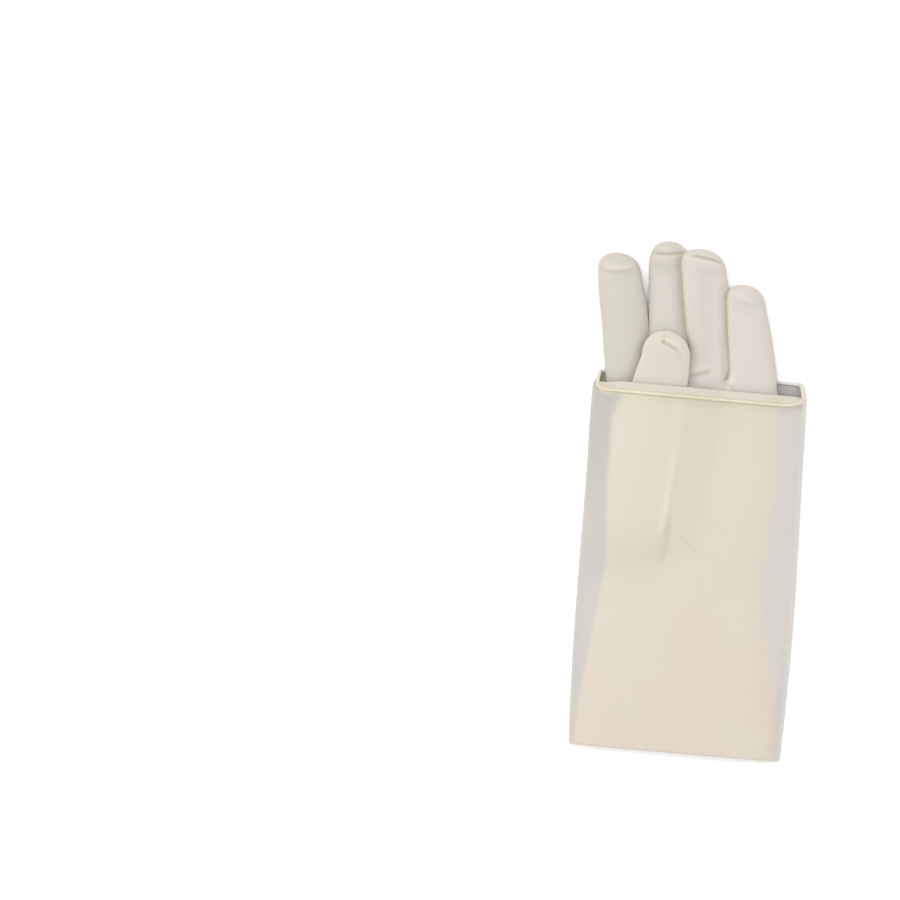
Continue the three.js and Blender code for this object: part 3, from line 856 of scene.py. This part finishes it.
def cuff_double_and_highlights(x, y, lip, facing_up):
    """1 where film is double: along the side folds, and inside the thumb's right edge, where the
    cuff lies pressed on it; and painted highlights on the palm side's raised folds."""
    sides = SIDE_GLOW * smoothstep(1 - from_side(x, y) / SIDE_GLOW_WIDTH)
    inside = edge_of("thumb", "right", y) + THUMB_PAST - x
    thumb = smoothstep(inside / THUMB_SHARP) * np.exp(-(inside / THUMB_GLOW_WIDTH) ** 2)
    thumb *= smoothstep((y - THUMB_FROM) / THUMB_REACH)
    # painted highlights on the cuff's raised folds, with the pressed band by the thumb
    bright = (THUMB_GLOW * thumb + fold_paint(x, y, CUFF_FOLDS, -1)) * facing_up
    return np.where(lip, 0, sides + bright)


x, y, z = positions(cuff).T
lip = np.repeat(cuff_on_lip, cuff_rings.shape[1]) == 1
keep(cuff, "layers", cuff_layers(x, y, lip))
facing_up = np.clip(normals(cuff)[:, 2] * 4, 0, 1)
# painted shade in the pocket under the table-side lip
keep(cuff, "shade", cuff_shade(x, y, z, lip, facing_up))
keep(cuff, "glow", cuff_double_and_highlights(x, y, lip, facing_up))
# painted shade down in the cuff's grooves
keep(cuff, "crease", fold_paint(x, y, CUFF_FOLDS) * facing_up)
inside_left = smoothstep((x - curve(CUFF, "left", y) - LIT_SIDE) / LIT_SIDE_REACH)
# painted light on the cuff under the bead, where it lifts the bead's shadow
keep(cuff, "lit", near_bead(x, y) * inside_left * np.where(lip, LIT_ON_LIP, 1.0))
right_side = smoothstep(1 - (curve(CUFF, "right", y) - x) / PALE_WIDTH)
near_rim = smoothstep((y - PALE_FROM) / PALE_REACH)
# paler film at the right side fold, and painted light near the rim that lifts the bead loop's
# shadow
keep(cuff, "pale", (PALE_SHARE + PALE_PAINTED_LIGHT * near_rim) * right_side)
print("layers on the cuff: mean", round(float(cuff_layers(x, y, lip).mean()), 2))

# %% The same for the hand
SINGLE_LAYERS = 0.3  # a finger lies flat, so its film is partly on itself
THUMB_LAYERS, TURNED_LAYERS = 0.4, 0.4  # more on the thumb, and where film turns down
THUMB_BASE, THUMB_SOFT = 9.2, 1.2  # the height over which the thumb begins
SHOWN_FROM = 196  # y from which the fingers show past the cuff
TIP_FREE, TIP_REACH = 1, 4  # edges don't glow in the last millimetres of a tip
EDGE_PAST = 0.3  # mm past a drawn edge that still count as the edge
FACES_UP = 0.2  # creases show on film whose normal rises more than this
RING_GLOW, LITTLE_GLOW, THUMB_WIDTH = 4.5, 4.0, 2.5  # widths of the edges' glow
INDEX_GLOW, INDEX_SHARE, INDEX_END = 2.0, 0.5, 245
WEB, WEB_SIZE, WEB_SHARE = (15.4, 206.0), 2.2, 0.6  # the curl of film beside the little finger
TIP_GLOW, TIP_FROM, TIP_OVER = 0.3, 220, 6  # the thumb's tip
THUMB_EDGE_SHARE, TURNED_GLOW = 0.8, 0.35
# Painted shade beside the edge of a finger that lies over another, and at the fingers' roots by
# the rim
RING_TUCK_SHADE, RING_TUCK_WIDTH, RING_TUCK_FROM = 0.42, 4.5, 215
LITTLE_TUCK_SHADE, LITTLE_TUCK_WIDTH = 0.55, 2.6
RIM_SHADE, RIM_SHADE_END, RIM_SHADE_FROM = 0.12, 207, 190
SHADE_REACH = 7


def shown(name):
    """1 where a digit shows past the cuff, 0 under it and at the very tip."""
    last = DIGITS[name][0][1] - TIP_FREE
    return (y > SHOWN_FROM) * smoothstep((last - y) / TIP_REACH)


def beside_edge(name, side, width):
    """1 at a digit's edge, falling off inwards over width, on film that leans out."""
    outwards = -1 if side == "left" else 1
    inside = (edge_of(name, side, y) - x) * outwards
    band = smoothstep(1 - inside / width) * smoothstep(inside / EDGE_PAST + 1)
    return band * (facing[:, 0] * outwards > -0.1) * shown(name)


def shade_beside_overlap(name, width):
    """Painted shade: 1 beside the left edge of the finger that lies over this film, falling off
    away from it over width, on film that leans towards it."""
    outside = edge_of(name, "left", y) - x
    band = smoothstep(1 - outside / width) * (outside > -EDGE_PAST)
    return band * smoothstep(facing[:, 0] * 8) * shown(name)


def tip_fold_paint(sign):
    """The painted shade or painted highlights of all the digits' folds: the thumb's on the
    thumb, the others' beneath it."""
    return sum(
        fold_paint(x, y, rows, sign) * (on_thumb if name == "thumb" else 1 - on_thumb)
        for name, rows in CREASES.items()
    )


x, y, z = positions(hand).T
facing = normals(hand)
on_thumb = smoothstep((z - THUMB_BASE) / THUMB_SOFT)
turned = 1 - np.abs(facing[:, 2])
overlaps = beside_edge("ring", "left", RING_GLOW) + beside_edge("little", "left", LITTLE_GLOW)
overlaps += INDEX_SHARE * beside_edge("index", "right", INDEX_GLOW) * (y < INDEX_END)
from_web = (x - WEB[0]) ** 2 + (y - WEB[1]) ** 2
overlaps += WEB_SHARE * np.exp(-from_web / WEB_SIZE ** 2)
overlaps *= 1 - on_thumb
# painted highlights on the tips' ridges, and a brighter thumb tip
ridges = tip_fold_paint(-1) + TIP_GLOW * smoothstep((y - TIP_FROM) / TIP_OVER) * on_thumb
thumb_edge = beside_edge("thumb", "left", THUMB_WIDTH)
thumb_edge += beside_edge("thumb", "right", THUMB_WIDTH)
crease_shade = tip_fold_paint(1)
past_thumb = smoothstep((y - RING_TUCK_FROM) / SHADE_REACH)
tucked_shade = RING_TUCK_SHADE * shade_beside_overlap("ring", RING_TUCK_WIDTH) * past_thumb
tucked_shade += LITTLE_TUCK_SHADE * shade_beside_overlap("little", LITTLE_TUCK_WIDTH)
near_rim = smoothstep((RIM_SHADE_END - y) / SHADE_REACH) * (y > RIM_SHADE_FROM)
tucked_shade += RIM_SHADE * near_rim
tucked_shade *= 1 - on_thumb
layers = SINGLE_LAYERS + THUMB_LAYERS * on_thumb + TURNED_LAYERS * turned ** 1.5
keep(hand, "layers", np.clip(layers, 0, 1))
# double film at edges and overlaps, with the painted highlights on ridges
glow = overlaps + ridges + THUMB_EDGE_SHARE * thumb_edge * on_thumb
glow += TURNED_GLOW * turned ** 2
keep(hand, "glow", np.clip(glow, 0, 1))
# painted shade in creases, beside overlapping fingers and near the rim
keep(hand, "crease", np.clip(crease_shade + tucked_shade, 0, 1) * (facing[:, 2] > FACES_UP))
print("points in creases:", int((crease_shade > 0.3).sum()))

# %% The bead's paler side
BEAD_PALE_FROM, BEAD_PALE_REACH = BEND_Y - 1.0, 4.0
x, y, z = positions(bead).T
keep(bead, "pale", smoothstep((y - BEAD_PALE_FROM) / BEAD_PALE_REACH))

# %% [markdown]
# ## Materials
#
# Shader maths is easier to read as a formula than as boxes and lines. A small
# class wraps a node's output so that + and * make the maths nodes.

# %% Shader formulas


class Wire:
    """One output of a node, with the arithmetic of numbers."""

    def __init__(self, tree, socket):
        self.tree, self.socket = tree, socket

    def maths(self, operation, first, second):
        made = self.tree.nodes.new("ShaderNodeMath")
        made.operation = operation
        for slot, value in zip(made.inputs, (first, second)):
            plug(self.tree, slot, value)
        return Wire(self.tree, made.outputs[0])

    def __add__(self, other):
        return self.maths("ADD", self, other)

    def __mul__(self, other):
        return self.maths("MULTIPLY", self, other)

    __radd__ = __add__

    def between(self, low, high):
        """0 at low, 1 at high, held outside."""
        made = self.tree.nodes.new("ShaderNodeMapRange")
        made.interpolation_type = "SMOOTHSTEP"
        plug(self.tree, made.inputs["Value"], self)
        made.inputs["From Min"].default_value = low
        made.inputs["From Max"].default_value = high
        return Wire(self.tree, made.outputs["Result"])


def plug(tree, slot, value):
    """Puts a wire or a plain value into a socket."""
    if isinstance(value, Wire):
        tree.links.new(value.socket, slot)
    else:
        slot.default_value = value


class Finish:
    """A material under construction: its tree, its shader, and its places."""

    def __init__(self, name):
        self.material = bpy.data.materials.new(name)
        self.material.use_nodes = True
        self.tree = self.material.node_tree
        self.shader = self.tree.nodes["Principled BSDF"]
        self.place = self.node("ShaderNodeTexCoord", "Object")

    def node(self, kind, output, settings=(), **values):
        """Adds a node of any kind with its settings and socket values."""
        made = self.tree.nodes.new(kind)
        for name, value in dict(settings).items():
            setattr(made, name, value)
        for name, value in values.items():
            plug(self.tree, made.inputs[name.replace("_", " ")], value)
        return Wire(self.tree, made.outputs[output])

    def noise(self, scale, detail=3.0, stretch=None):
        """A smooth random pattern, so many blobs to the metre, drawn out by stretch."""
        place = self.place
        if stretch:
            place = self.node("ShaderNodeMapping", "Vector", Vector=place, Scale=stretch)
        return self.node(
            "ShaderNodeTexNoise", "Fac", Vector=place, Scale=scale, Detail=detail
        )

    def mix(self, factor, first, second):
        """Colour mix: first at factor 0, second at factor 1."""
        made = self.tree.nodes.new("ShaderNodeMix")
        made.data_type = "RGBA"
        plug(self.tree, made.inputs[0], factor)
        plug(self.tree, made.inputs[6], first)
        plug(self.tree, made.inputs[7], second)
        return Wire(self.tree, made.outputs[2])

    def attribute(self, name):
        return self.node("ShaderNodeAttribute", "Fac", {"attribute_name": name})

    def bump(self, height, strength, distance):
        return self.node(
            "ShaderNodeBump", "Normal", Height=height, Strength=strength, Distance=distance
        )

    def put(self, **values):
        for name, value in values.items():
            plug(self.tree, self.shader.inputs[name.replace("_", " ")], value)


LIGHT_GAIN = 1.52  # how much brighter the light shows a surface than its own colour


def tone(red, green, blue):
    """The shader's linear colour for a tone from 0 to 255 as it should look in the
    studio's light."""
    c = np.array([red, green, blue]) / 255
    linear = np.where(c <= 0.04045, c / 12.92, ((c + 0.055) / 1.055) ** 2.4)
    return (*(linear / LIGHT_GAIN).tolist(), 1.0)


# %% [markdown]
# Unpowdered latex is satin: a soft sheen with no mirror. Its colour wavers a
# little between cream and pink over a few centimetres, its surface has the
# fine orange peel of a dipped skin, and long shallow waves run down the sleeve.

# %% Latex film
GREY_FILM = tone(219, 211, 206)  # one layer, over the table
GREY_LEFT = tone(209, 202, 196)  # the same to the left, which is a little darker
GREEN_FILM = tone(196, 193, 184)  # one layer beside the thumb
GREEN_FINGER = tone(205, 201, 190)  # the same on the index finger
SPECKLE_FILM = tone(234, 226, 210)
BEAD_DARK, BEAD_LIGHT = tone(231, 222, 193), tone(236, 228, 204)
BEAD_PALE = tone(230, 229, 221)  # on the table-side lip, which is thinner
CREAM_FILM = tone(225, 216, 197)  # layers that touch
PINK_FILM = tone(226, 211, 194)
EDGE_AND_HIGHLIGHT_FILM = tone(240, 231, 210)  # double film at an edge, and painted highlights on ridges and raised folds
CREASE_SHADE_FILM = tone(166, 156, 114)  # painted shade down in a crease, where film is also seen end on
BEAD_LIGHT_PAINT = tone(270, 258, 224)  # painted light under the bead, standing for light that has come through it; it lifts the bead's shadow
PALE_AND_LIT_FILM = tone(240, 238, 232)  # one layer standing up at the right side, and painted light near the rim
POCKET_SHADE_FILM = tone(190, 186, 184)  # painted shade on the lip's inner face, right and left
POCKET_SHADE_GREEN = tone(222, 210, 168)


def latex(name):
    finish = Finish(name)
    along = finish.node("ShaderNodeSeparateXYZ", "Y", Vector=finish.place)
    across = finish.node("ShaderNodeSeparateXYZ", "X", Vector=finish.place)
    to_left = across.between(0.0, -0.05)
    greenish = to_left * along.between(-0.02, 0.05)
    broad = finish.noise(26.0, 2.0).between(0.38, 0.62)
    mottle = finish.noise(70.0, 4.0).between(0.35, 0.65)
    pinkish = broad * 0.5 + along.between(-0.03, -0.11) * 0.5
    green = finish.mix(along.between(0.058, 0.068), GREEN_FILM, GREEN_FINGER)
    free = finish.mix(to_left, GREY_FILM, GREY_LEFT)
    free = finish.mix(greenish, free, green)
    touching = finish.mix(pinkish, CREAM_FILM, PINK_FILM)
    colour = finish.mix(finish.attribute("layers"), free, touching)
    colour = finish.mix(mottle * 0.10, colour, SPECKLE_FILM)
    # double film at edges, and painted highlights
    colour = finish.mix(finish.attribute("glow") * 0.85, colour, EDGE_AND_HIGHLIGHT_FILM)
    # painted shade in creases and beside overlapping fingers
    colour = finish.mix(finish.attribute("crease"), colour, CREASE_SHADE_FILM)
    colour = finish.mix(finish.attribute("pale"), colour, PALE_AND_LIT_FILM)
    # painted light under the bead
    colour = finish.mix(finish.attribute("lit"), colour, BEAD_LIGHT_PAINT)
    # painted shade in the pocket, olive to the left
    pocket = finish.mix(greenish, POCKET_SHADE_FILM, POCKET_SHADE_GREEN)
    colour = finish.mix(finish.attribute("shade"), colour, pocket)
    waves = finish.noise(60.0, 3.0, stretch=(1.0, 0.16, 1.0))
    peel = finish.noise(1400.0, 2.0)
    bump = finish.bump(waves * 0.8 + peel * 0.035, 0.35, 0.0008)
    finish.put(
        Base_Color=colour, Roughness=0.46 + mottle * 0.1, Normal=bump, IOR=1.45,
        Subsurface_Weight=0.12, Subsurface_Scale=0.004, Sheen_Weight=0.05,
    )
    finish.shader.inputs["Subsurface Radius"].default_value = (1.0, 0.75, 0.5)
    return finish.material


film_finish = latex("latex_film")

# %% Rolled latex


def rolled_latex():
    finish = Finish("rolled_latex")
    blotch = finish.noise(120.0, 3.0).between(0.35, 0.65)
    colour = finish.mix(blotch, BEAD_DARK, BEAD_LIGHT)
    colour = finish.mix(finish.attribute("pale"), colour, BEAD_PALE)
    ridges = finish.noise(900.0, 3.0)
    finish.put(
        Base_Color=colour, Roughness=0.38 + blotch * 0.1, IOR=1.45,
        Normal=finish.bump(ridges, 0.25, 0.0003),
    )
    return finish.material


bead_finish = rolled_latex()

# %% Dress the pieces and tie them to the frame


def dress(piece, material, node):
    piece.data.materials.clear()
    piece.data.materials.append(material)
    smooth = np.ones(len(piece.data.polygons), bool)
    piece.data.polygons.foreach_set("use_smooth", smooth)
    piece.data.update()
    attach(piece, "root")
    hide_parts(node)


dress(hand, film_finish, "glove_film")
dress(cuff, film_finish, "glove_film")
dress(bead, bead_finish, "rolled_bead")

# %% [markdown]
# ## Table, camera and light
#
# The glove lies on a plain white table and is looked at from straight above,
# turned by a few degrees. A long lens far away keeps its outline as flat as in
# a catalogue picture.

# %% Table
TABLE_HALF = 3.0
TABLE_DEPTH = -0.00005  # a hair under the film, which rests at height 0
floor_mesh = bpy.data.meshes.new("table")
corners = [(-TABLE_HALF, -TABLE_HALF, TABLE_DEPTH), (TABLE_HALF, -TABLE_HALF, TABLE_DEPTH),
           (TABLE_HALF, TABLE_HALF, TABLE_DEPTH), (-TABLE_HALF, TABLE_HALF, TABLE_DEPTH)]
floor_mesh.from_pydata(corners, [], [(0, 1, 2, 3)])
floor = bpy.data.objects.new("table", floor_mesh)
bpy.context.scene.collection.objects.link(floor)
white = Finish("white_table")
white.put(Base_Color=(0.93, 0.93, 0.93, 1), Roughness=0.9)
floor.data.materials.append(white.material)

# %% Camera
ROLL = math.radians(4.4)
SCALE = 0.55  # millimetres of glove to a pixel
PICTURE = 900
MOUTH_PIXEL = (675, 752)  # where the drawing's origin lies in the picture
LENS, SENSOR = 200.0, 36.0
right_way = np.array([math.cos(ROLL), math.sin(ROLL), 0])
down_way = np.array([math.sin(ROLL), -math.cos(ROLL), 0])
middle_of_picture = SCALE * (
    (PICTURE / 2 - MOUTH_PIXEL[0]) * right_way + (PICTURE / 2 - MOUTH_PIXEL[1]) * down_way
)
FOCUS_HEIGHT = 8.0  # the height, in mm, at which the scale holds
distance = PICTURE * SCALE * LENS / SENSOR
camera = bpy.data.objects.new("camera", bpy.data.cameras.new("camera"))
bpy.context.scene.collection.objects.link(camera)
camera.data.lens, camera.data.sensor_width = LENS, SENSOR
camera.data.clip_end = 20.0
camera.location = (middle_of_picture + SHIFT + [0, 0, FOCUS_HEIGHT + distance]) * MM
camera.rotation_euler = (0, 0, ROLL)
bpy.context.scene.camera = camera
print("camera height, m:", round(camera.location.z, 3))

# %% Light


def soft_light(name, where, aim, size, power):
    """A square area light that looks from where to aim."""
    data = bpy.data.lights.new(name, "AREA")
    data.shape, data.size, data.energy = "SQUARE", size, power
    made = bpy.data.objects.new(name, data)
    bpy.context.scene.collection.objects.link(made)
    made.location = where
    made.rotation_mode = "QUATERNION"
    made.rotation_quaternion = (Vector(aim) - Vector(where)).to_track_quat("-Z", "Y")
    return made


soft_light("key", (-1.4, 0.5, 1.9), (0, 0, 0), 1.6, 20)
soft_light("top", (0.1, 0.3, 2.2), (0, 0, 0), 2.2, 22)
world = bpy.data.worlds.new("studio")
world.use_nodes = True
world.node_tree.nodes["Background"].inputs["Color"].default_value = (1, 1, 1, 1)
world.node_tree.nodes["Background"].inputs["Strength"].default_value = 0.96
bpy.context.scene.world = world
bpy.context.scene.view_settings.view_transform = "Standard"

# %% Bring the scene up to date
bpy.context.view_layer.update()
